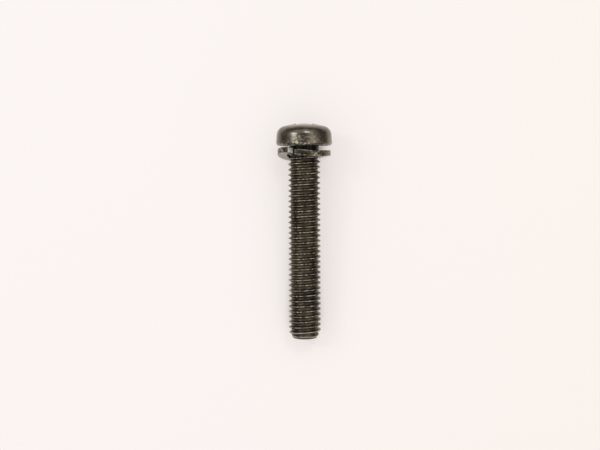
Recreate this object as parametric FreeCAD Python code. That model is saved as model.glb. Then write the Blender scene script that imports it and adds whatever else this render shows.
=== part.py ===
import FreeCAD, Part
import math
import os

# A pan head machine screw with a cross recess and a thread along its whole shank, lying on a
# flat surface, and the split lock washer that hangs loose under its head. Millimetres, degrees.
# Each piece is drawn upright: its axis is Z, the bearing face of the head is at height 0 and
# the tip is below it. Then both are laid down with the head towards +Y and the side that
# faced -Y on top. Angles round the axis count from -Y towards +X.

# Head
HEAD_DIAMETER = 8.5
HEAD_HEIGHT = 3.41
HEAD_CROWN_RADIUS = 12.0
HEAD_SHOULDER_RADIUS = 1.45
HEAD_BASE_RADIUS = 0.5
HEAD_SIDE_DRAFT = 4.5

# Cross recess
RECESS_SPAN = 4.5
RECESS_WING_WIDTH = 1.3
RECESS_WEB = 0.42
RECESS_DEPTH = 2.2
RECESS_FLOOR_SPAN = 1.9
RECESS_FLOOR_WING_WIDTH = 0.85
RECESS_FLOOR_WEB = 0.15
RECESS_POINT_DEPTH = 0.4
RECESS_TURN = 45.0

# Neck, shank and chamfered tip: the neck is thinner than the thread by its inset all round
SHANK_LENGTH = 29.25
NECK_INSET = 0.19
NECK_LENGTH = 0.8
NECK_TAPER_LENGTH = 0.3
TIP_DIAMETER = 3.6
TIP_CHAMFER_LENGTH = 0.95

# Right-hand thread: the first height is that of one crest on the +X side
THREAD_DIAMETER = 4.88
THREAD_PITCH = 0.8
THREAD_DEPTH = 0.39
THREAD_ANGLE = 60.0
THREAD_CREST_HEIGHT = -2.39
THREAD_RUNOUT_TURNS = 1
THREAD_FOOT_SINK = 0.04

# Split lock washer: a ring of rectangular wire, sprung a little out of flat. Its bore clears
# the thread and its rim stays inside that of the head.
WASHER_BORE_CLEARANCE = 0.11
WASHER_RIM_INSET = 0.225
WASHER_THICKNESS = 0.86
WASHER_EDGE_CHAMFER = 0.1
WASHER_SPLIT_START = -38.0
WASHER_SPLIT_END = -21.0
WASHER_END_OFFSET = 0.19
WASHER_TWIST = 0.26
WASHER_TWIST_PEAK = -64.0
WASHER_HEAD_CLEARANCE = 0.15
WASHER_HANG_CLEARANCE = 0.03
WASHER_LEAN = 3.0
WASHER_SPINE_POINTS = 17

FULL_TURN = 360
NECK_DIAMETER = THREAD_DIAMETER - 2 * NECK_INSET
WASHER_BORE = THREAD_DIAMETER + 2 * WASHER_BORE_CLEARANCE
WASHER_DIAMETER = HEAD_DIAMETER - 2 * WASHER_RIM_INSET
WASHER_ARC = FULL_TURN + WASHER_SPLIT_START - WASHER_SPLIT_END

ORIGIN = FreeCAD.Vector(0, 0, 0)
X_AXIS = FreeCAD.Vector(1, 0, 0)
Z_AXIS = FreeCAD.Vector(0, 0, 1)


def point(radius, height):
    return FreeCAD.Vector(radius, 0, height)


def closed_wire(corners):
    return Part.makePolygon(corners + corners[:1])


def revolved(wire):
    return Part.Face(wire).revolve(ORIGIN, Z_AXIS, FULL_TURN)


def arc_edge(centre_radius, centre_height, radius, start, end):
    """An arc in the plane of the axis, from one angle above level to another."""
    corners = []
    for angle in (start, (start + end) / 2, end):
        turn = math.radians(angle)
        out = centre_radius + radius * math.cos(turn)
        up = centre_height + radius * math.sin(turn)
        corners.append(point(out, up))
    return Part.Arc(*corners).toShape()


def head():
    """The pan head: a low crown, a rounded shoulder and a side that flares to a rounded base."""
    draft = math.radians(HEAD_SIDE_DRAFT)
    base_round_radius = HEAD_DIAMETER / 2 - HEAD_BASE_RADIUS
    crown_height = HEAD_HEIGHT - HEAD_CROWN_RADIUS
    # The shoulder's centre lies on a line parallel to the side, inside it by the shoulder's
    # radius, where that line meets the circle inside the crown by the same radius.
    inset = HEAD_SHOULDER_RADIUS - HEAD_BASE_RADIUS
    start_radius = base_round_radius - inset * math.cos(draft)
    start_height = HEAD_BASE_RADIUS - inset * math.sin(draft) - crown_height
    lean = start_height * math.cos(draft) - start_radius * math.sin(draft)
    beyond = start_radius ** 2 + start_height ** 2 - (HEAD_CROWN_RADIUS - HEAD_SHOULDER_RADIUS) ** 2
    rise = math.sqrt(lean ** 2 - beyond) - lean
    shoulder_radius = start_radius - rise * math.sin(draft)
    shoulder_height = start_height + rise * math.cos(draft)
    crown_end = math.degrees(math.atan2(shoulder_height, shoulder_radius))
    crown = arc_edge(0, crown_height, HEAD_CROWN_RADIUS, 90, crown_end)
    shoulder = arc_edge(
        shoulder_radius, shoulder_height + crown_height, HEAD_SHOULDER_RADIUS, crown_end, HEAD_SIDE_DRAFT
    )
    base = arc_edge(base_round_radius, HEAD_BASE_RADIUS, HEAD_BASE_RADIUS, HEAD_SIDE_DRAFT, -90)
    side = Part.makeLine(shoulder.lastVertex().Point, base.firstVertex().Point)
    bearing_face = Part.makeLine(base.lastVertex().Point, ORIGIN)
    axis = Part.makeLine(ORIGIN, crown.firstVertex().Point)
    return revolved(Part.Wire([crown, shoulder, side, base, bearing_face, axis]))


def cross_outline(span, wing_width, web, height):
    """A cross with its four inner corners cut back by the web."""
    tip = span / 2
    side = wing_width / 2
    arm = [(tip, -side), (tip, side), (side + web, side), (side, side + web)]
    corners = []
    for quarter in range(4):
        turn = FreeCAD.Rotation(Z_AXIS, 90 * quarter)
        corners += [turn.multVec(FreeCAD.Vector(x, y, height)) for x, y in arm]
    return closed_wire(corners)


def recess():
    """The cross recess as a cutter: four tapered wings over a conical point."""
    floor_height = HEAD_HEIGHT - RECESS_DEPTH
    mouth = cross_outline(RECESS_SPAN, RECESS_WING_WIDTH, RECESS_WEB, HEAD_HEIGHT)
    floor = cross_outline(RECESS_FLOOR_SPAN, RECESS_FLOOR_WING_WIDTH, RECESS_FLOOR_WEB, floor_height)
    wings = Part.makeLoft([floor, mouth], True, True)
    point_base = FreeCAD.Vector(0, 0, floor_height - RECESS_POINT_DEPTH)
    tip = Part.makeCone(0, RECESS_FLOOR_WING_WIDTH / 2, RECESS_POINT_DEPTH, point_base)
    cutter = wings.fuse(tip)
    cutter.rotate(ORIGIN, Z_AXIS, RECESS_TURN)
    return cutter


def core():
    """The neck and the root of the thread, from inside the head to the end of the tip."""
    neck_radius = NECK_DIAMETER / 2
    root_radius = THREAD_DIAMETER / 2 - THREAD_DEPTH
    return revolved(closed_wire([
        point(0, HEAD_BASE_RADIUS),
        point(neck_radius, HEAD_BASE_RADIUS),
        point(neck_radius, -NECK_LENGTH),
        point(root_radius, -NECK_LENGTH - NECK_TAPER_LENGTH),
        point(root_radius, -SHANK_LENGTH),
        point(0, -SHANK_LENGTH),
    ]))


def ridge_section(crest_radius, height):
    """The V-shaped section of the thread's ridge, with its foot a little inside the core."""
    reach = THREAD_DEPTH + THREAD_FOOT_SINK
    half_width = reach * math.tan(math.radians(THREAD_ANGLE / 2))
    foot_radius = crest_radius - reach
    return closed_wire([
        point(crest_radius, height),
        point(foot_radius, height + half_width),
        point(foot_radius, height - half_width),
    ])


def ridge():
    """The thread's ridge at full height, from beyond the tip to the start of the run-out."""
    crest_radius = THREAD_DIAMETER / 2
    below = math.ceil((SHANK_LENGTH + THREAD_CREST_HEIGHT) / THREAD_PITCH)
    start = THREAD_CREST_HEIGHT - below * THREAD_PITCH
    turns = round((runout_start() - start) / THREAD_PITCH)
    helix = Part.makeLongHelix(THREAD_PITCH, turns * THREAD_PITCH, crest_radius, 0)
    helix.translate(FreeCAD.Vector(0, 0, start))
    return helix.makePipeShell([ridge_section(crest_radius, start)], True, True)


def runout_start():
    """The height of the highest crest on the +X side that leaves room for the run-out."""
    room = -NECK_LENGTH - THREAD_RUNOUT_TURNS * THREAD_PITCH - THREAD_CREST_HEIGHT
    return THREAD_CREST_HEIGHT + math.ceil(room / THREAD_PITCH) * THREAD_PITCH


def runout():
    """The last turn below the neck, where the ridge sinks into the neck along a cone."""
    top_radius = NECK_DIAMETER / 2 - THREAD_FOOT_SINK
    height = THREAD_RUNOUT_TURNS * THREAD_PITCH
    cone_angle = math.atan((THREAD_DIAMETER / 2 - top_radius) / height)
    slant = 1 / math.cos(cone_angle)
    helix = Part.makeHelix(THREAD_PITCH * slant, height * slant, top_radius, math.degrees(cone_angle))
    # The cone widens upwards as it is made, so it is turned over.
    helix.rotate(ORIGIN, X_AXIS, 180)
    top = runout_start() + height
    helix.translate(FreeCAD.Vector(0, 0, top))
    return helix.makePipeShell([ridge_section(top_radius, top)], True, True)


def tip_envelope():
    """Everything that the chamfered tip leaves of the shank."""
    slope = (THREAD_DIAMETER - TIP_DIAMETER) / 2 / TIP_CHAMFER_LENGTH
    outer_radius = THREAD_DIAMETER
    shoulder = (outer_radius - TIP_DIAMETER / 2) / slope - SHANK_LENGTH
    return revolved(closed_wire([
        point(0, HEAD_HEIGHT),
        point(outer_radius, HEAD_HEIGHT),
        point(outer_radius, shoulder),
        point(TIP_DIAMETER / 2, -SHANK_LENGTH),
        point(0, -SHANK_LENGTH),
    ]))


def screw():
    shank = core().fuse(runout()).fuse(ridge()).common(tip_envelope())
    return shank.fuse(head()).cut(recess()).removeSplitter().Solids[0]


def washer_rise(angle):
    """How far the ring stands towards the head at an angle, out of its flat form."""
    along = (angle - WASHER_SPLIT_END) / WASHER_ARC - 0.5
    twist = WASHER_TWIST * math.cos(math.radians(2 * (angle - WASHER_TWIST_PEAK)))
    return WASHER_END_OFFSET * along + twist


def round_the_axis(radius, angle, height):
    turn = math.radians(angle)
    return FreeCAD.Vector(radius * math.sin(turn), -radius * math.cos(turn), height)


def washer_section():
    """The wire's section, a rectangle with its corners cut, where the ring starts."""
    inner = WASHER_BORE / 2
    outer = WASHER_DIAMETER / 2
    half = WASHER_THICKNESS / 2
    cut = WASHER_EDGE_CHAMFER
    level = washer_rise(WASHER_SPLIT_END)
    section = closed_wire([
        point(inner + cut, level - half),
        point(outer - cut, level - half),
        point(outer, level - half + cut),
        point(outer, level + half - cut),
        point(outer - cut, level + half),
        point(inner + cut, level + half),
        point(inner, level + half - cut),
        point(inner, level - half + cut),
    ])
    section.rotate(ORIGIN, Z_AXIS, WASHER_SPLIT_END - 90)
    return section


def washer():
    """The split ring: its section carried round its sprung centre line."""
    middle = (WASHER_BORE + WASHER_DIAMETER) / 4
    step = WASHER_ARC / (WASHER_SPINE_POINTS - 1)
    angles = [WASHER_SPLIT_END + step * i for i in range(WASHER_SPINE_POINTS)]
    line = Part.BSplineCurve()
    line.interpolate([round_the_axis(middle, angle, washer_rise(angle)) for angle in angles])
    sweep = Part.BRepOffsetAPI.MakePipeShell(Part.Wire(line.toShape()))
    sweep.setBiNormalMode(Z_AXIS)
    sweep.add(washer_section())
    sweep.build()
    sweep.makeSolid()
    return sweep.shape()


def rest_tilt():
    """The lean of the axis when the head's rim and the thread's last crest touch the ground."""
    drop = (HEAD_DIAMETER - THREAD_DIAMETER) / 2
    between = HEAD_BASE_RADIUS + SHANK_LENGTH - TIP_CHAMFER_LENGTH
    return math.degrees(math.asin(drop / between))


def bottom(shape):
    return shape.optimalBoundingBox().ZMin


def lay_down():
    """Both pieces as they lie: the screw on its rim and tip, the washer standing on its edge."""
    tilt = rest_tilt()
    slope = math.radians(tilt)
    body = screw()
    body.rotate(ORIGIN, X_AXIS, tilt - 90)
    bearing_face_height = -bottom(body)
    body.translate(FreeCAD.Vector(0, 0, bearing_face_height))
    ring = washer()
    ring.rotate(ORIGIN, X_AXIS, -tilt - WASHER_LEAN)
    below_head = ring.optimalBoundingBox().ZMax + WASHER_HEAD_CLEARANCE
    ring.rotate(ORIGIN, X_AXIS, tilt - 90)
    # The ring stands on the ground, unless the thread holds it higher.
    standing_height = -bottom(ring)
    axis_height = bearing_face_height - below_head * math.sin(slope)
    hanging_height = axis_height + THREAD_DIAMETER / 2 + WASHER_HANG_CLEARANCE - WASHER_BORE / 2
    ring_height = max(standing_height, hanging_height)
    ring.translate(FreeCAD.Vector(0, -below_head * math.cos(slope), ring_height))
    box = Part.makeCompound([body, ring]).optimalBoundingBox()
    to_centre = FreeCAD.Vector(-box.Center.x, -box.Center.y, 0)
    for shape in (body, ring):
        shape.translate(to_centre)
    return {"screw": body, "split_lock_washer": ring}


os.makedirs("parts", exist_ok=True)
for node, shape in lay_down().items():
    shape.exportStep("parts/" + node + ".step")
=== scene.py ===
import bpy
import bmesh
import math
from mathutils import Matrix, Vector


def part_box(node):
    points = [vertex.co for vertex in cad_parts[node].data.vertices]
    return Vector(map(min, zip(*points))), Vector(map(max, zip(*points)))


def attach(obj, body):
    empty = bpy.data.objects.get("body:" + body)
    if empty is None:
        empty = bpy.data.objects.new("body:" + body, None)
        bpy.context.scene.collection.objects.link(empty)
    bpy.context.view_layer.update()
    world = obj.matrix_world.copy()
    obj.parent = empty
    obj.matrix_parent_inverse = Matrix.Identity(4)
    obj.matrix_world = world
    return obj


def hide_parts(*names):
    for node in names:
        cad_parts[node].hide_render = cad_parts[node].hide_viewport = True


MM = 0.001
TURN = 2 * math.pi

# Each piece is drawn upright in millimetres: its axis is Z, the bearing face of the head is at
# height 0 and the tip is below it. Angles of the screw count from +X towards +Y.

# Head
HEAD_DIAMETER = 8.5
HEAD_HEIGHT = 3.41
HEAD_CROWN_RADIUS = 12.0
HEAD_SHOULDER_RADIUS = 1.45
HEAD_BASE_RADIUS = 0.5
HEAD_SIDE_DRAFT = 4.5
HEAD_COLUMNS = 192
BASE_STEPS = 10
SHOULDER_STEPS = 18
CROWN_STEPS = 10

# Cross recess
RECESS_SPAN = 4.5
RECESS_WING_WIDTH = 1.3
RECESS_WEB = 0.42
RECESS_DEPTH = 2.2
RECESS_FLOOR_SPAN = 1.9
RECESS_FLOOR_WING_WIDTH = 0.85
RECESS_FLOOR_WEB = 0.15
RECESS_POINT_DEPTH = 0.4
RECESS_TURN = 45.0
RECESS_OVERRUN = 0.2

# Neck, shank and chamfered tip
SHANK_LENGTH = 29.25
NECK_DIAMETER = 4.5
NECK_LENGTH = 0.8
NECK_TAPER_LENGTH = 0.3
TIP_DIAMETER = 3.6
TIP_CHAMFER_LENGTH = 0.95
TIP_EDGE_ROUND = 0.07
TIP_HOLLOW = 0.04
TIP_GROOVE_DEPTH = 0.07
TIP_GROOVE_FADE = 0.2

# Steps of the tip's rim, inward and down in shares of its rounding, and of its end face, in
# shares of the rim's radius and of the hollow
TIP_RIM_STEPS = ((0, 0), (0.5, 0.65), (1.2, 1))
TIP_FACE_STEPS = ((0.55, 0.8), (0, 1))

# Right-hand thread
THREAD_DIAMETER = 4.88
THREAD_PITCH = 0.8
THREAD_DEPTH = 0.4
THREAD_ANGLE = 60.0
THREAD_CREST_HEIGHT = -2.39
THREAD_CREST_FLAT = 0.07
THREAD_CREST_EDGE = 0.02
THREAD_CREST_EDGE_DEPTH = 0.012
THREAD_ROOT_EDGE = 0.035
RUNOUT_START = -1.59
RUNOUT_DROP = 0.23
THREAD_COLUMNS = 120
TURNS_PAST_TIP = 2
TURNS_PAST_NECK = 1

# Split lock washer: its angles count from -Y towards +X
WASHER_DIAMETER = 8.05
WASHER_BORE = 5.1
WASHER_THICKNESS = 0.86
WASHER_EDGE_RADIUS = 0.12
CUT_BORDER = 0.06
WASHER_SPLIT_START = -38.0
WASHER_SPLIT_END = -21.0
WASHER_END_OFFSET = 0.19
WASHER_TWIST = 0.26
WASHER_TWIST_PEAK = -64.0
WASHER_LEAN = 3.0
WASHER_STATIONS = 160
EDGE_STEPS = 5

# The washer's material slots: flats and walls, cut ends, rounded edges
FLATS = 0
CUT_ENDS = 1
EDGES = 2

# Edges that turn by more degrees than this are sharp, and points nearer than this are one
SHARP_ANGLE = 30
THREAD_SHARP_ANGLE = 24
MERGE_DISTANCE = 1e-5

# Colours of the finish
BLACK_COAT = (0.175, 0.138, 0.086, 1)
DARK_COAT = (0.062, 0.046, 0.031, 1)
HEAD_COAT = (0.146, 0.120, 0.086, 1)
HEAD_SHADE = (0.078, 0.061, 0.042, 1)
VIOLET_TINT = (0.140, 0.113, 0.100, 1)
# Dark colour for real grime in patches on the washer and for the washer's darker left side. It is also
# painted shade in the thread's grooves, on the neck under the head, on the tip's rim and on the cut ends
# beside the bore.
GRIME_AND_SHADE = (0.010, 0.008, 0.006, 1)
OLIVE_WEAR_AND_HIGHLIGHT = (0.46, 0.41, 0.31, 1)
HEAD_WEAR_AND_SHEEN = (0.45, 0.39, 0.25, 1)
CREST_WEAR = (0.50, 0.44, 0.34, 1)
FLAT_WIRE = (0.36, 0.32, 0.30, 1)
BARE_STEEL = (0.90, 0.88, 0.80, 1)
CUT_STEEL = (0.80, 0.78, 0.70, 1)

# Noise patterns: cells per metre, and how many finer layers each has
FINE_NOISE = (2600, 4)
COAT_NOISE = (420, 3)
HEAD_NOISE = (700, 3)
DIRT_NOISE = (600, 2)
CUT_NOISE = (3000, 3)
GRAIN_NOISE = (9000, 2)
NOISE_ROUGHNESS = 0.55

# A noise reaches from about 0.3 to 0.7. Each pair is where a pattern begins and where it is full.
WHOLE_NOISE = (0.3, 0.7)
COAT_MOTTLE = (0.35, 0.65)
HEAD_MOTTLE = (0.40, 0.60)
VIOLET_SPECKS = (0.52, 0.72)
CREST_SPECKS = (0.44, 0.62)
HEAD_SPECKS = (0.50, 0.60)
CROWN_SPECKS = (0.35, 0.60)
DIRT_PATCHES = (0.42, 0.60)
WASHER_SPECKS = (0.42, 0.58)
FLAT_SPECKS = (0.3, 0.6)

# Gloss and grain
COAT_METALLIC = 0.85
CUT_METALLIC = 0.1
THREAD_ROUGHNESS = 0.28
HEAD_ROUGHNESS = 0.17
WASHER_ROUGHNESS = 0.26
ROUGHNESS_SPREAD = 0.12
CUT_ROUGHNESS = (0.4, 0.55)
HEAD_GLOSS = 0.35
HEAD_GLOSS_ROUGHNESS = 0.14
GRAIN_STRENGTH = 0.25
GRAIN_HEIGHT = 0.01

# Shares of wear, of grime and of painted shade, from 0 to 1. A zone is the two places between which a
# share changes.
# On the thread these are heights from the bearing face or the tip, radii, or depths below the
# crest.
VIOLET_SHARE = 0.5
# Painted shade: darker in the thread's grooves, on the neck under the head and on the tip's rounded rim
GROOVE_SHADE = 0.45
GROOVE_SHADE_DEPTH = 0.15
NECK_SHADE = 0.95
NECK_SHADE_ZONE = (-1.0, -0.7)
TIP_RIM_SHADE = 0.6
TIP_RIM_SHADE_ZONE = (0.17, 0.10)
TIP_RIM_SHADE_RADII = (1.55, 1.65)
CREST_WEAR_DEPTHS = (0.06, 0.01)
TIP_EDGE_WEAR_BELOW = (0.14, 0.22)
TIP_EDGE_WEAR_ABOVE = (0.48, 0.36)
TIP_WEAR = 0.6
TIP_WEAR_ZONE = (2.4, 1.1)
LAST_CREST_WEAR = 0.7
LAST_CREST_DEPTHS = (0.15, 0.08)
LAST_CREST_BELOW = (0.82, 0.90)
LAST_CREST_ABOVE = (1.4, 1.2)

# On the head: heights from the bearing face, and distances to either side of the axis
RIM_WEAR = 0.4
RIM_WEAR_ZONE = (1.1, 0.4)
SIDE_WEAR_ZONE = (2.1, 1.2)
SIDE_WEAR_REACH = (2.0, 1.0)
SIDE_WEAR_FAR = 0.05
SIDE_WEAR_NEAR = 0.55
# The crown's top band is paler: worn specks over an even painted sheen, which is the least share
CROWN_WEAR_AND_SHEEN = 0.3
CROWN_WEAR_AND_SHEEN_ZONE = (2.6, 3.1)
CROWN_SHEEN_LEAST = 0.4

# On the washer: places across it, from -X to +X
DIRT_SHARE = 0.5
# The wire is made darker on its left side, fading out across this zone
WALL_DARKENING = 0.45
WALL_DARKENING_ZONE = (0.6, 1.2)
RIGHT_WEAR = 0.4
RIGHT_WEAR_ZONE = (1.0, 2.2)
LEFT_WEAR = 0.60
LEFT_WEAR_ZONE = (-2.0, -2.8)
PATCH_WEAR = 0.35
PATCH_LEFT = (0.9, 1.4)
PATCH_RIGHT = (2.5, 2.0)
# Along the rounded edges the pale share is wear and a painted highlight, fading out towards the left
EDGE_WEAR_AND_HIGHLIGHT = 0.6
EDGE_WEAR_AND_HIGHLIGHT_ZONE = (-2.4, -1.2)

# A flat face is known by how straight it faces along the axis, and is pale by at least a share
FLAT_FACING = (0.80, 0.95)
FLAT_LEAST = 0.75

# On the cut ends: widths from the bore of a strip of painted shade, where the slot between the ends is in
# shadow
SHADED_STRIP = (0.14, 0.22)

# The photograph's camera: straight above, in the photograph's 600 by 450 frame
CAMERA_PLACE = Vector((-0.67, 0.978, 160.0))
CAMERA_ROLL = -0.25
CAMERA_FOCAL_PIXELS = 1029.0
IMAGE_WIDTH = 600
SENSOR_WIDTH = 36.0
CAMERA_NEAR = 0.005
CAMERA_FAR = 10

# Pale floor, in metres
FLOOR_REACH = 0.6
FLOOR_LEFT = (0.91, 0.84, 0.81, 1)
FLOOR_RIGHT = (0.91, 0.84, 0.77, 1)
FLOOR_TINT_ZONE = (-0.05, 0.05)
FLOOR_ROUGHNESS = 0.7
FLOOR_SPECULAR = 0.2
GLOW_LEFT = (0.98, 0.91, 0.89, 1)
GLOW_RIGHT = (0.98, 0.91, 0.86, 1)
FLOOR_GLOW = 0.6
SHADOW_REACH = 0.003
SHADOW_SAMPLES = 16
SHADOW_OPENNESS = (0.20, 0.65)
MIRRORED_DIM_ZONE = (0.014, 0.030)
MIRRORED_DIM = 0.8
MIRRORED_DARK = 0.04

# Lamps, in metres and watts
LAMP_TARGET = Vector((0, 0.014, 0.004))
LAMP_COLOUR = (0.74, 0.88, 1.0)
LEFT_LAMP_PLACE = Vector((-0.311, 0.127, 0.327))
LEFT_LAMP_SIZE = (0.09, 0.15)
LEFT_LAMP_POWER = 0.39
BACK_LAMP_PLACE = Vector((0.082, 0.236, 0.395))
BACK_LAMP_SIZE = (0.16, 0.10)
BACK_LAMP_POWER = 0.34

# The world's light by the height and the side that it comes from, each from -1 to 1
SKY_COLOUR = (0.97, 0.97, 1.0, 1)
BACKDROP_COLOUR = (0.90, 0.87, 0.84, 1)
SKY_RISE = (0.25, 0.70)
SKY_RISE_STRENGTH = (0.15, 1.0)
SKY_ZENITH = (0.87, 0.975)
SKY_ZENITH_STRENGTH = (1.30, 0.20)
SKY_SIDES = (-1, 1)
SKY_SIDES_STRENGTH = (1.12, 0.88)


def laid_down(meshes, tilt, node):
    """Turn the upright meshes of one node as they lie and centre them on its box in the frame."""
    turn = Matrix.Rotation(math.radians(tilt - 90), 4, "X")
    for mesh in meshes:
        mesh.transform(turn)
    points = [vertex.co for mesh in meshes for vertex in mesh.vertices]
    shift = Vector()
    for axis, (low, high) in enumerate(zip(*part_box(node))):
        places = [point[axis] for point in points]
        shift[axis] = (low + high - min(places) - max(places)) / 2
    move = Matrix.Translation(shift)
    for mesh in meshes:
        mesh.transform(move)
    return move @ turn


def rest_tilt():
    """The lean of the screw's axis: the head's rim and the thread's last crest touch the ground."""
    drop = (HEAD_DIAMETER - THREAD_DIAMETER) / 2
    between = HEAD_BASE_RADIUS + SHANK_LENGTH - TIP_CHAMFER_LENGTH
    return math.degrees(math.asin(drop / between))


def ride_on_root(mesh, name, replaced, materials):
    """Make a piece of a mesh, which stands for a node of the frame."""
    piece = bpy.data.objects.new(name, mesh)
    bpy.context.scene.collection.objects.link(piece)
    for material in materials:
        mesh.materials.append(material)
    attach(piece, "root")
    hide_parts(replaced)


def finished_mesh(bm, name, sharp_angle):
    """Turn a bmesh in millimetres into a mesh in metres, smooth but for its sharp edges."""
    bmesh.ops.recalc_face_normals(bm, faces=bm.faces)
    bmesh.ops.scale(bm, vec=(MM, MM, MM), verts=bm.verts)
    mesh = bpy.data.meshes.new(name)
    bm.to_mesh(mesh)
    bm.free()
    mesh.shade_smooth()
    mesh.set_sharp_from_angle(angle=math.radians(sharp_angle))
    return mesh


def on_circle(radius, angle, height):
    """The place at a distance and an angle round the axis."""
    return Vector((radius * math.cos(angle), radius * math.sin(angle), height))


def arc(centre_radius, centre_height, radius, start, end, steps):
    """Points along an arc of a profile, its angles in degrees from the outward direction."""
    points = []
    for step in range(steps + 1):
        angle = math.radians(start + (end - start) * step / steps)
        out = centre_radius + radius * math.cos(angle)
        up = centre_height + radius * math.sin(angle)
        points.append((out, up))
    return points


def add_rings(bm, rings, columns):
    """A skin round the axis through rings of (radius, height); radius 0 is a pole."""
    made = []
    for radius, height in rings:
        count = columns if radius > 0 else 1
        angles = [TURN * column / columns for column in range(count)]
        made.append([bm.verts.new(on_circle(radius, angle, height)) for angle in angles])
    for lower, upper in zip(made, made[1:]):
        for column in range(columns):
            after = (column + 1) % columns
            corners = [lower[column % len(lower)], lower[after % len(lower)]]
            corners += [upper[after % len(upper)], upper[column % len(upper)]]
            bm.faces.new(list(dict.fromkeys(corners)))


def core_radius(height):
    """The neck, its taper and the root of the thread."""
    neck = NECK_DIAMETER / 2
    root = THREAD_DIAMETER / 2 - THREAD_DEPTH
    along = (-NECK_LENGTH - height) / NECK_TAPER_LENGTH
    return neck + (root - neck) * min(max(along, 0), 1)


def chamfer_radius(height):
    """The cone that trims the thread towards the tip."""
    slope = (THREAD_DIAMETER - TIP_DIAMETER) / 2 / TIP_CHAMFER_LENGTH
    return TIP_DIAMETER / 2 + slope * (height + SHANK_LENGTH)


def thread_profile():
    """One pitch of the thread: distance along the axis from the crest, and depth below it."""
    slope = math.tan(math.radians(THREAD_ANGLE / 2))
    flank = THREAD_CREST_FLAT / 2 + THREAD_CREST_EDGE
    foot = flank + (THREAD_DEPTH - THREAD_CREST_EDGE_DEPTH) * slope
    half = [
        (THREAD_CREST_FLAT / 2, 0),
        (flank, THREAD_CREST_EDGE_DEPTH),
        (foot - THREAD_ROOT_EDGE / 2, THREAD_DEPTH - THREAD_ROOT_EDGE / 2 / slope / 2),
        (foot + THREAD_ROOT_EDGE / 2, THREAD_DEPTH),
    ]
    return half + [(THREAD_PITCH - along, depth) for along, depth in reversed(half)]


def thread_point(profile, row, angle, start, end_height):
    """A point of the shank's skin, from its row along the helix and its angle."""
    turn, step = divmod(row, len(profile))
    crest = start + turn * THREAD_PITCH + THREAD_PITCH * angle / TURN
    along, depth = profile[step]
    height = crest + along
    # The second half of the profile belongs to the next crest, towards the head.
    if along > THREAD_PITCH / 2:
        crest += THREAD_PITCH
    sunk = (crest - RUNOUT_START) / THREAD_PITCH
    radius = THREAD_DIAMETER / 2 - depth - RUNOUT_DROP * max(sunk, 0)
    radius = max(radius, core_radius(height))
    height = min(max(height, end_height), HEAD_BASE_RADIUS)
    fade = min((height - end_height) / TIP_GROOVE_FADE, 1)
    radius = min(radius, chamfer_radius(height) - TIP_GROOVE_DEPTH * fade * depth / THREAD_DEPTH)
    return on_circle(radius, angle, height)


def shank_mesh():
    """The threaded shank as one skin whose rows follow the helix, closed by the flat tip."""
    bm = bmesh.new()
    profile = thread_profile()
    end_height = TIP_EDGE_ROUND - SHANK_LENGTH
    below = math.ceil((SHANK_LENGTH + THREAD_CREST_HEIGHT) / THREAD_PITCH) + TURNS_PAST_TIP
    start = THREAD_CREST_HEIGHT - below * THREAD_PITCH
    turns = math.ceil((HEAD_BASE_RADIUS - start) / THREAD_PITCH) + TURNS_PAST_NECK
    columns = []
    for column in range(THREAD_COLUMNS):
        angle = TURN * column / THREAD_COLUMNS
        places = [
            thread_point(profile, row, angle, start, end_height)
            for row in range(turns * len(profile))
        ]
        columns.append([bm.verts.new(place) for place in places])
    # After a whole turn the rows meet those that lie one pitch further on.
    columns.append(columns[0][len(profile):])
    for here, beyond in zip(columns, columns[1:]):
        for row in range(len(beyond) - 1):
            bm.faces.new((here[row], beyond[row], beyond[row + 1], here[row + 1]))
    # The rim of the tip, rounded, and its end face, slightly hollow.
    rim = chamfer_radius(end_height)
    rings = [
        (rim - TIP_EDGE_ROUND * inward, end_height - TIP_EDGE_ROUND * down)
        for inward, down in TIP_RIM_STEPS
    ]
    rings += [(rim * out, TIP_HOLLOW * deep - SHANK_LENGTH) for out, deep in TIP_FACE_STEPS]
    add_rings(bm, rings, THREAD_COLUMNS)
    bmesh.ops.remove_doubles(bm, verts=bm.verts, dist=MERGE_DISTANCE)
    # The end inside the head is closed too.
    bmesh.ops.holes_fill(bm, edges=[edge for edge in bm.edges if edge.is_boundary], sides=0)
    return finished_mesh(bm, "shank", THREAD_SHARP_ANGLE)


def head_profile():
    """From the centre of the bearing face round the side to the top of the crown.

    The shoulder's arc touches the leaning side and the crown, so its centre is found by going up
    along the side until the crown's centre is as far away as the two radii differ.
    """
    draft = math.radians(HEAD_SIDE_DRAFT)
    base_round_radius = HEAD_DIAMETER / 2 - HEAD_BASE_RADIUS
    crown_height = HEAD_HEIGHT - HEAD_CROWN_RADIUS
    inset = HEAD_SHOULDER_RADIUS - HEAD_BASE_RADIUS
    start_radius = base_round_radius - inset * math.cos(draft)
    start_height = HEAD_BASE_RADIUS - inset * math.sin(draft) - crown_height
    lean = start_height * math.cos(draft) - start_radius * math.sin(draft)
    beyond = start_radius ** 2 + start_height ** 2 - (HEAD_CROWN_RADIUS - HEAD_SHOULDER_RADIUS) ** 2
    rise = math.sqrt(lean ** 2 - beyond) - lean
    shoulder_radius = start_radius - rise * math.sin(draft)
    shoulder_height = start_height + rise * math.cos(draft)
    crown_end = math.degrees(math.atan2(shoulder_height, shoulder_radius))
    points = [(0, 0), (NECK_DIAMETER / 2, 0)]
    points += arc(base_round_radius, HEAD_BASE_RADIUS, HEAD_BASE_RADIUS, -90, HEAD_SIDE_DRAFT, BASE_STEPS)
    points += arc(
        shoulder_radius, shoulder_height + crown_height, HEAD_SHOULDER_RADIUS,
        HEAD_SIDE_DRAFT, crown_end, SHOULDER_STEPS
    )
    crown = arc(0, crown_height, HEAD_CROWN_RADIUS, crown_end, 90, CROWN_STEPS)[1:-1]
    return points + crown + [(0, HEAD_HEIGHT)]


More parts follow.
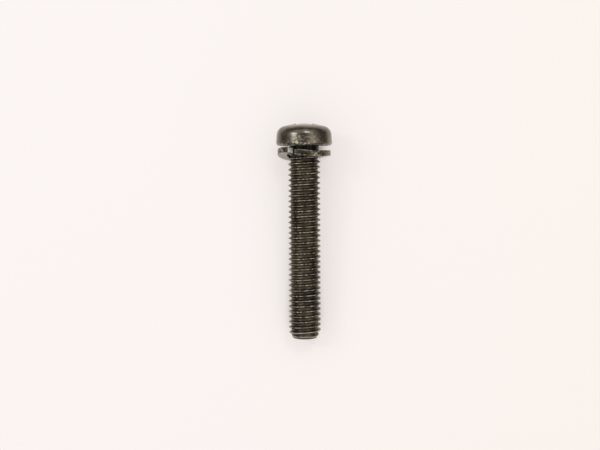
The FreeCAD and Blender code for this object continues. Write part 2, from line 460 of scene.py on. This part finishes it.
def cross_outline(span, wing_width, web):
    """A cross with slanted inner corners, as points round the axis."""
    tip = span / 2
    side = wing_width / 2
    arm = [(tip, -side), (tip, side), (side + web, side), (side, side + web)]
    corners = []
    for quarter in range(4):
        turn = Matrix.Rotation(math.radians(90 * quarter + RECESS_TURN), 2)
        corners += [turn @ Vector(corner) for corner in arm]
    return corners


def recess_mesh():
    """The cutter of the cross recess: tapered wings over a blunt point."""
    bm = bmesh.new()
    floor_height = HEAD_HEIGHT - RECESS_DEPTH
    floor = cross_outline(RECESS_FLOOR_SPAN, RECESS_FLOOR_WING_WIDTH, RECESS_FLOOR_WEB)
    mouth = cross_outline(RECESS_SPAN, RECESS_WING_WIDTH, RECESS_WEB)
    # The wings go on past the mouth at the same taper.
    above = [low + (high - low) * (1 + RECESS_OVERRUN) for low, high in zip(floor, mouth)]
    above_height = floor_height + RECESS_DEPTH * (1 + RECESS_OVERRUN)
    low_ring = [bm.verts.new((p.x, p.y, floor_height)) for p in floor]
    high_ring = [bm.verts.new((p.x, p.y, above_height)) for p in above]
    point = bm.verts.new((0, 0, floor_height - RECESS_POINT_DEPTH))
    count = len(low_ring)
    for i in range(count):
        after = (i + 1) % count
        bm.faces.new((low_ring[i], low_ring[after], high_ring[after], high_ring[i]))
        bm.faces.new((low_ring[after], low_ring[i], point))
    bm.faces.new(high_ring)
    return finished_mesh(bm, "recess", SHARP_ANGLE)


def head_mesh():
    """The pan head, revolved, with the recess cut out of it."""
    bm = bmesh.new()
    add_rings(bm, head_profile(), HEAD_COLUMNS)
    body = bpy.data.objects.new("head_body", finished_mesh(bm, "head_solid", SHARP_ANGLE))
    cutter = bpy.data.objects.new("recess_cutter", recess_mesh())
    for piece in (body, cutter):
        bpy.context.scene.collection.objects.link(piece)
    cut = body.modifiers.new("recess", "BOOLEAN")
    cut.object = cutter
    cut.solver = "EXACT"
    graph = bpy.context.evaluated_depsgraph_get()
    mesh = bpy.data.meshes.new_from_object(body.evaluated_get(graph))
    for piece in (body, cutter):
        bpy.data.objects.remove(piece)
    mesh.name = "head"
    mesh.shade_smooth()
    mesh.set_sharp_from_angle(angle=math.radians(SHARP_ANGLE))
    return mesh


def washer_span():
    """The angle that the wire goes round, from one cut end to the other."""
    return 360 + WASHER_SPLIT_START - WASHER_SPLIT_END


def washer_rise(angle):
    """How far the wire's centre line stands out of flat: its ends apart, and a twist."""
    along = (angle - WASHER_SPLIT_END) / washer_span() - 0.5
    twist = WASHER_TWIST * math.cos(math.radians(2 * (angle - WASHER_TWIST_PEAK)))
    return WASHER_END_OFFSET * along + twist


def washer_section():
    """The wire's rounded rectangle as (radius, height) round its middle."""
    half_width = (WASHER_DIAMETER - WASHER_BORE) / 4
    half_height = WASHER_THICKNESS / 2
    points = []
    for side_x, side_y, start in ((1, 1, 0), (-1, 1, 90), (-1, -1, 180), (1, -1, 270)):
        centre_x = side_x * (half_width - WASHER_EDGE_RADIUS)
        centre_y = side_y * (half_height - WASHER_EDGE_RADIUS)
        points += arc(centre_x, centre_y, WASHER_EDGE_RADIUS, start, start + 90, EDGE_STEPS)
    return points


def washer_mesh():
    """The split ring, its section carried round the sprung centre line."""
    bm = bmesh.new()
    middle = (WASHER_DIAMETER + WASHER_BORE) / 4
    section = washer_section()
    rings = []
    for station in range(WASHER_STATIONS + 1):
        degrees = WASHER_SPLIT_END + washer_span() * station / WASHER_STATIONS
        angle = math.radians(degrees)
        rise = washer_rise(degrees)
        ring = []
        for out, up in section:
            radius = middle + out
            ring.append(bm.verts.new((radius * math.sin(angle), -radius * math.cos(angle), rise + up)))
        rings.append(ring)
    count = len(section)
    for here, beyond in zip(rings, rings[1:]):
        for i in range(count):
            after = (i + 1) % count
            face = bm.faces.new((here[i], here[after], beyond[after], beyond[i]))
            starts_corner = after % (EDGE_STEPS + 1) == 0
            face.material_index = FLATS if starts_corner else EDGES
    ends = [bm.faces.new(end) for end in (rings[0], rings[-1])]
    for end in ends:
        end.material_index = CUT_ENDS
    bm.normal_update()
    # The coating reaches a little way in over the rim of each cut end.
    for border in bmesh.ops.inset_individual(bm, faces=ends, thickness=CUT_BORDER)["faces"]:
        border.material_index = FLATS
    return finished_mesh(bm, "washer", SHARP_ANGLE)


class Nodes:
    """A short way to write the node tree of a material or a world."""

    def __init__(self, owner):
        owner.use_nodes = True
        self.owner = owner
        self.tree = owner.node_tree

    def feed(self, node, inputs):
        """Set each input of a node to a value, or link it to another node's output."""
        for key, value in inputs.items():
            if isinstance(value, bpy.types.NodeSocket):
                self.tree.links.new(value, node.inputs[key])
            else:
                node.inputs[key].default_value = value

    def shade(self, inputs):
        """Set or link inputs of the surface itself."""
        self.feed(self.tree.nodes["Principled BSDF"], inputs)

    def add(self, kind, inputs, **settings):
        node = self.tree.nodes.new(kind)
        for key, value in settings.items():
            setattr(node, key, value)
        self.feed(node, inputs)
        return node

    def noise(self, vector, scale, detail):
        inputs = {"Vector": vector, "Scale": scale, "Detail": detail, "Roughness": NOISE_ROUGHNESS}
        return self.add("ShaderNodeTexNoise", inputs).outputs["Fac"]

    def span(self, value, zone, to_low=0.0, to_high=1.0):
        """Goes from one number to the other while the value crosses the zone."""
        inputs = {"Value": value, "From Min": zone[0], "From Max": zone[1]}
        inputs.update({"To Min": to_low, "To Max": to_high})
        return self.add("ShaderNodeMapRange", inputs, clamp=True).outputs["Result"]

    def fade(self, length, zone, to_low=0.0, to_high=1.0):
        """The same for a length, with its zone in millimetres."""
        return self.span(length, (zone[0] * MM, zone[1] * MM), to_low, to_high)

    def maths(self, operation, first, second=0):
        return self.add("ShaderNodeMath", {0: first, 1: second}, operation=operation).outputs["Value"]

    def product(self, first, second):
        return self.maths("MULTIPLY", first, second)

    def larger(self, first, second):
        return self.maths("MAXIMUM", first, second)

    def either(self, first, second):
        """The sum of two shares, at most 1."""
        return self.maths("MINIMUM", self.maths("ADD", first, second), 1)

    def mix(self, factor, first, second):
        """A mix of two colours. The node's sockets 6 and 7 are its colours."""
        inputs = {0: factor, 6: first, 7: second}
        return self.add("ShaderNodeMix", inputs, data_type="RGBA").outputs[2]

    def split(self, vector):
        parts = self.add("ShaderNodeSeparateXYZ", {"Vector": vector}).outputs
        return parts["X"], parts["Y"], parts["Z"]


def upright(n, lay):
    """The place of a point on the piece before it was laid down."""
    inputs = {
        "Vector": n.add("ShaderNodeTexCoord", {}).outputs["Object"],
        "Location": lay.to_translation(),
        "Rotation": lay.to_euler(),
    }
    return n.add("ShaderNodeMapping", inputs, vector_type="TEXTURE").outputs["Vector"]


def radius_of(n, place):
    """The distance from the piece's axis."""
    across, away, _ = n.split(place)
    squares = n.maths("ADD", n.product(across, across), n.product(away, away))
    return n.maths("SQRT", squares)


def mottled_coat(n, place):
    """The black coating's colour, unworn, and the fine pattern that its wear follows."""
    fine = n.noise(place, *FINE_NOISE)
    coat = n.mix(n.span(n.noise(place, *COAT_NOISE), COAT_MOTTLE), DARK_COAT, BLACK_COAT)
    return n.mix(n.span(fine, VIOLET_SPECKS, 0, VIOLET_SHARE), coat, VIOLET_TINT), fine


def finish_coat(n, place, colour, fine, roughness):
    """Give a coated material its colour, its uneven gloss and its fine grain."""
    bump = {
        "Height": n.noise(place, *GRAIN_NOISE),
        "Strength": GRAIN_STRENGTH,
        "Distance": GRAIN_HEIGHT * MM,
    }
    n.shade({
        "Base Color": colour,
        "Metallic": COAT_METALLIC,
        "Roughness": n.span(fine, WHOLE_NOISE, roughness, roughness + ROUGHNESS_SPREAD),
        "Normal": n.add("ShaderNodeBump", bump).outputs["Normal"],
    })
    return n.owner


def below_crest(depths):
    """The thread's radii at these depths below its crest."""
    return [THREAD_DIAMETER / 2 - depth for depth in depths]


def thread_coat(lay):
    """Darker in the grooves, under the head and on the tip's rim, as painted shade; worn on the crests
    and most of all at the tip.
    """
    n = Nodes(bpy.data.materials.new("coat_on_thread"))
    place = upright(n, lay)
    coat, fine = mottled_coat(n, place)
    radius = radius_of(n, place)
    height = n.split(place)[2]
    above_tip = n.maths("ADD", height, SHANK_LENGTH * MM)

    # Painted shade: darker in the grooves, on the neck under the head and on the tip's rounded rim
    groove_shade = n.fade(radius, below_crest((THREAD_DEPTH, GROOVE_SHADE_DEPTH)), GROOVE_SHADE, 0.0)
    neck = n.fade(height, NECK_SHADE_ZONE, 0.0, NECK_SHADE)
    outer = n.fade(radius, TIP_RIM_SHADE_RADII, 0.0, TIP_RIM_SHADE)
    rim = n.product(n.fade(above_tip, TIP_RIM_SHADE_ZONE), outer)
    for darkening in (groove_shade, neck, rim):
        coat = n.mix(darkening, coat, GRIME_AND_SHADE)

    tip_edge = n.product(n.fade(above_tip, TIP_EDGE_WEAR_BELOW), n.fade(above_tip, TIP_EDGE_WEAR_ABOVE))
    raised = n.larger(n.fade(radius, below_crest(CREST_WEAR_DEPTHS)), tip_edge)
    wear = n.larger(n.span(fine, CREST_SPECKS), n.fade(above_tip, TIP_WEAR_ZONE, 0.0, TIP_WEAR))
    last_crest = n.product(n.fade(above_tip, LAST_CREST_BELOW), n.fade(above_tip, LAST_CREST_ABOVE))
    broad = n.product(n.fade(radius, below_crest(LAST_CREST_DEPTHS), 0.0, LAST_CREST_WEAR), last_crest)
    worn = n.larger(n.product(raised, wear), broad)
    return finish_coat(n, place, n.mix(worn, coat, CREST_WEAR), fine, THREAD_ROUGHNESS)


def head_coat(lay):
    """Glossy brown black, with pale worn specks that thin out above the rim, and a paler top band of the
    crown: worn specks over a painted sheen.
    """
    n = Nodes(bpy.data.materials.new("coat_on_head"))
    place = upright(n, lay)
    fine = n.noise(place, *FINE_NOISE)
    coat = n.mix(n.span(n.noise(place, *HEAD_NOISE), HEAD_MOTTLE), HEAD_SHADE, HEAD_COAT)
    across, _, height = n.split(place)
    aside = n.maths("ABSOLUTE", across)

    rim = n.fade(height, RIM_WEAR_ZONE, 0.0, RIM_WEAR)
    reach = n.fade(aside, SIDE_WEAR_REACH, SIDE_WEAR_FAR, SIDE_WEAR_NEAR)
    side = n.product(n.fade(height, SIDE_WEAR_ZONE), reach)
    wall = n.product(n.maths("ADD", rim, side), n.span(fine, HEAD_SPECKS))
    # Painted sheen on the crown's top band, with worn specks on it
    crown_specks_and_sheen = n.span(fine, CROWN_SPECKS, CROWN_SHEEN_LEAST, 1.0)
    crown = n.product(n.fade(height, CROWN_WEAR_AND_SHEEN_ZONE, 0.0, CROWN_WEAR_AND_SHEEN), crown_specks_and_sheen)
    worn = n.larger(wall, crown)
    n.shade({"Coat Weight": HEAD_GLOSS, "Coat Roughness": HEAD_GLOSS_ROUGHNESS})
    return finish_coat(n, place, n.mix(worn, coat, HEAD_WEAR_AND_SHEEN), fine, HEAD_ROUGHNESS)


def washer_coat(lay, name, edge_wear_and_highlight):
    """Patchy on its wall and darker on its left side, worn at both sides, worn with a painted highlight
    along the edges, and paler on its flat faces.
    """
    n = Nodes(bpy.data.materials.new(name))
    place = upright(n, lay)
    coat, fine = mottled_coat(n, place)
    across = n.split(place)[0]
    dirt = n.span(n.noise(place, *DIRT_NOISE), DIRT_PATCHES, DIRT_SHARE, 0.0)
    # Darker on the wire's left side, fading out across the wall's zone
    wall = n.fade(across, WALL_DARKENING_ZONE, WALL_DARKENING, 0.0)
    for darkening in (dirt, wall):
        coat = n.mix(darkening, coat, GRIME_AND_SHADE)

    right = n.fade(across, RIGHT_WEAR_ZONE, 0.0, RIGHT_WEAR)
    left = n.fade(across, LEFT_WEAR_ZONE, 0.0, LEFT_WEAR)
    patch_left = n.fade(across, PATCH_LEFT, 0.0, PATCH_WEAR)
    patch_right = n.fade(across, PATCH_RIGHT, 0.0, PATCH_WEAR)
    patch = n.maths("MINIMUM", patch_left, patch_right)
    # Along the rounded edges: wear and a painted highlight; and worn patches on the right
    edges = n.maths("ADD", n.fade(across, EDGE_WEAR_AND_HIGHLIGHT_ZONE, 0.0, edge_wear_and_highlight), patch)
    share = n.maths("ADD", n.larger(right, left), edges)
    colour = n.mix(n.product(share, n.span(fine, WASHER_SPECKS)), coat, OLIVE_WEAR_AND_HIGHLIGHT)

    # Flat faces are those whose normal points along the axis.
    facing = {
        0: n.add("ShaderNodeTexCoord", {}).outputs["Normal"],
        1: lay.to_3x3() @ Vector((0, 0, 1)),
    }
    along = n.add("ShaderNodeVectorMath", facing, operation="DOT_PRODUCT").outputs["Value"]
    flat = n.span(n.maths("ABSOLUTE", along), FLAT_FACING)
    pale = n.product(flat, n.span(fine, FLAT_SPECKS, FLAT_LEAST, 1.0))
    return finish_coat(n, place, n.mix(pale, colour, FLAT_WIRE), fine, WASHER_ROUGHNESS)


def cut_end(lay):
    """Bare bright steel, but for a strip of painted shade beside the bore, in the slot between the ends.
    """
    n = Nodes(bpy.data.materials.new("cut_steel"))
    place = upright(n, lay)
    fine = n.noise(place, *CUT_NOISE)
    steel = n.mix(n.span(fine, WHOLE_NOISE), CUT_STEEL, BARE_STEEL)
    # Painted shade on the strip beside the bore
    unshaded = n.fade(radius_of(n, place), [WASHER_BORE / 2 + width for width in SHADED_STRIP])
    n.shade({
        "Base Color": n.mix(unshaded, GRIME_AND_SHADE, steel),
        "Metallic": CUT_METALLIC,
        "Roughness": n.span(fine, WHOLE_NOISE, *CUT_ROUGHNESS),
    })
    return n.owner


def floor_material():
    """A pale floor. Part of its light is its own, for the camera and in reflections only.

    It fades where the object stands close, so that the shadow stays.
    """
    n = Nodes(bpy.data.materials.new("pale_floor"))
    across = n.split(n.add("ShaderNodeTexCoord", {}).outputs["Object"])[0]
    tint = n.span(across, FLOOR_TINT_ZONE)
    n.shade({
        "Base Color": n.mix(tint, FLOOR_LEFT, FLOOR_RIGHT),
        "Roughness": FLOOR_ROUGHNESS,
        "Specular IOR Level": FLOOR_SPECULAR,
    })
    reach = {"Distance": SHADOW_REACH}
    openness = n.add("ShaderNodeAmbientOcclusion", reach, samples=SHADOW_SAMPLES).outputs["AO"]
    rays = n.add("ShaderNodeLightPath", {}).outputs
    mirrored = n.either(rays["Is Glossy Ray"], rays["Is Transmission Ray"])
    glow = {
        "Color": n.mix(tint, GLOW_LEFT, GLOW_RIGHT),
        "Strength": n.larger(n.span(openness, SHADOW_OPENNESS), mirrored),
    }
    lit = {
        0: n.product(n.either(rays["Is Camera Ray"], mirrored), FLOOR_GLOW),
        1: n.tree.nodes["Principled BSDF"].outputs["BSDF"],
        2: n.add("ShaderNodeEmission", glow).outputs["Emission"],
    }
    # Far to either side the mirrored floor is dim, as beyond the edges of a small one.
    dim = n.span(n.maths("ABSOLUTE", across), MIRRORED_DIM_ZONE, 0.0, MIRRORED_DIM)
    bounded = {
        0: n.product(mirrored, dim),
        1: n.add("ShaderNodeMixShader", lit).outputs["Shader"],
        2: n.add("ShaderNodeEmission", {"Strength": MIRRORED_DARK}).outputs["Emission"],
    }
    surface = n.add("ShaderNodeMixShader", bounded).outputs["Shader"]
    n.feed(n.tree.nodes["Material Output"], {"Surface": surface})
    return n.owner


def add_floor():
    bm = bmesh.new()
    bmesh.ops.create_grid(bm, x_segments=1, y_segments=1, size=FLOOR_REACH)
    mesh = bpy.data.meshes.new("floor")
    bm.to_mesh(mesh)
    bm.free()
    mesh.materials.append(floor_material())
    floor = bpy.data.objects.new("floor", mesh)
    bpy.context.scene.collection.objects.link(floor)


def add_lamp(name, place, size, power):
    lamp = bpy.data.lights.new(name, "AREA")
    lamp.shape = "RECTANGLE"
    lamp.size, lamp.size_y = size
    lamp.energy = power
    lamp.color = LAMP_COLOUR
    holder = bpy.data.objects.new(name, lamp)
    bpy.context.scene.collection.objects.link(holder)
    holder.location = place
    holder.rotation_mode = "QUATERNION"
    holder.rotation_quaternion = (LAMP_TARGET - place).to_track_quat("-Z", "Y")


def add_world():
    """A high bright ring of light round a dark zenith, where the camera is; pale for the camera."""
    n = Nodes(bpy.data.worlds.new("studio"))
    across, _, height = n.split(n.add("ShaderNodeTexCoord", {}).outputs["Generated"])
    rise = n.span(height, SKY_RISE, *SKY_RISE_STRENGTH)
    zenith = n.span(height, SKY_ZENITH, *SKY_ZENITH_STRENGTH)
    sides = n.span(across, SKY_SIDES, *SKY_SIDES_STRENGTH)
    sky = n.tree.nodes["Background"]
    n.feed(sky, {"Color": SKY_COLOUR, "Strength": n.product(n.product(rise, zenith), sides)})
    seen = {
        0: n.add("ShaderNodeLightPath", {}).outputs["Is Camera Ray"],
        1: sky.outputs["Background"],
        2: n.add("ShaderNodeBackground", {"Color": BACKDROP_COLOUR}).outputs["Background"],
    }
    surface = n.add("ShaderNodeMixShader", seen).outputs["Shader"]
    n.feed(n.tree.nodes["World Output"], {"Surface": surface})
    bpy.context.scene.world = n.owner


def add_camera():
    data = bpy.data.cameras.new("camera")
    data.sensor_width = SENSOR_WIDTH
    data.lens = CAMERA_FOCAL_PIXELS * SENSOR_WIDTH / IMAGE_WIDTH
    data.clip_start = CAMERA_NEAR
    data.clip_end = CAMERA_FAR
    camera = bpy.data.objects.new("camera", data)
    camera.location = CAMERA_PLACE * MM
    camera.rotation_euler = (0, 0, math.radians(CAMERA_ROLL))
    bpy.context.scene.collection.objects.link(camera)
    bpy.context.scene.camera = camera


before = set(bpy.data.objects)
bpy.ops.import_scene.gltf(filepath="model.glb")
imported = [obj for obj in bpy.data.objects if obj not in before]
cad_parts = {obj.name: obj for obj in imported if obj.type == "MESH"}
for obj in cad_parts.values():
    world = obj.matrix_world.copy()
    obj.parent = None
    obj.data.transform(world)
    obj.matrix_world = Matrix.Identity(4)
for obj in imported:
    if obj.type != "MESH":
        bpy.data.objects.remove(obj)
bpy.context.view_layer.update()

add_camera()
add_lamp("left_lamp", LEFT_LAMP_PLACE, LEFT_LAMP_SIZE, LEFT_LAMP_POWER)
add_lamp("back_lamp", BACK_LAMP_PLACE, BACK_LAMP_SIZE, BACK_LAMP_POWER)
add_world()
add_floor()

shank = shank_mesh()
head = head_mesh()
ring = washer_mesh()
screw_lay = laid_down([shank, head], rest_tilt(), "screw")
washer_lay = laid_down([ring], -WASHER_LEAN, "split_lock_washer")
ride_on_root(shank, "threaded_shank", "screw", [thread_coat(screw_lay)])
ride_on_root(head, "pan_head", "screw", [head_coat(screw_lay)])
washer_materials = [
    washer_coat(washer_lay, "coat_on_washer", 0.0),
    cut_end(washer_lay),
    # The rounded edges carry wear and a painted highlight
    washer_coat(washer_lay, "worn_and_highlit_washer_edge", EDGE_WEAR_AND_HIGHLIGHT),
]
ride_on_root(ring, "lock_washer", "split_lock_washer", washer_materials)

bpy.context.scene.view_settings.view_transform = "Standard"
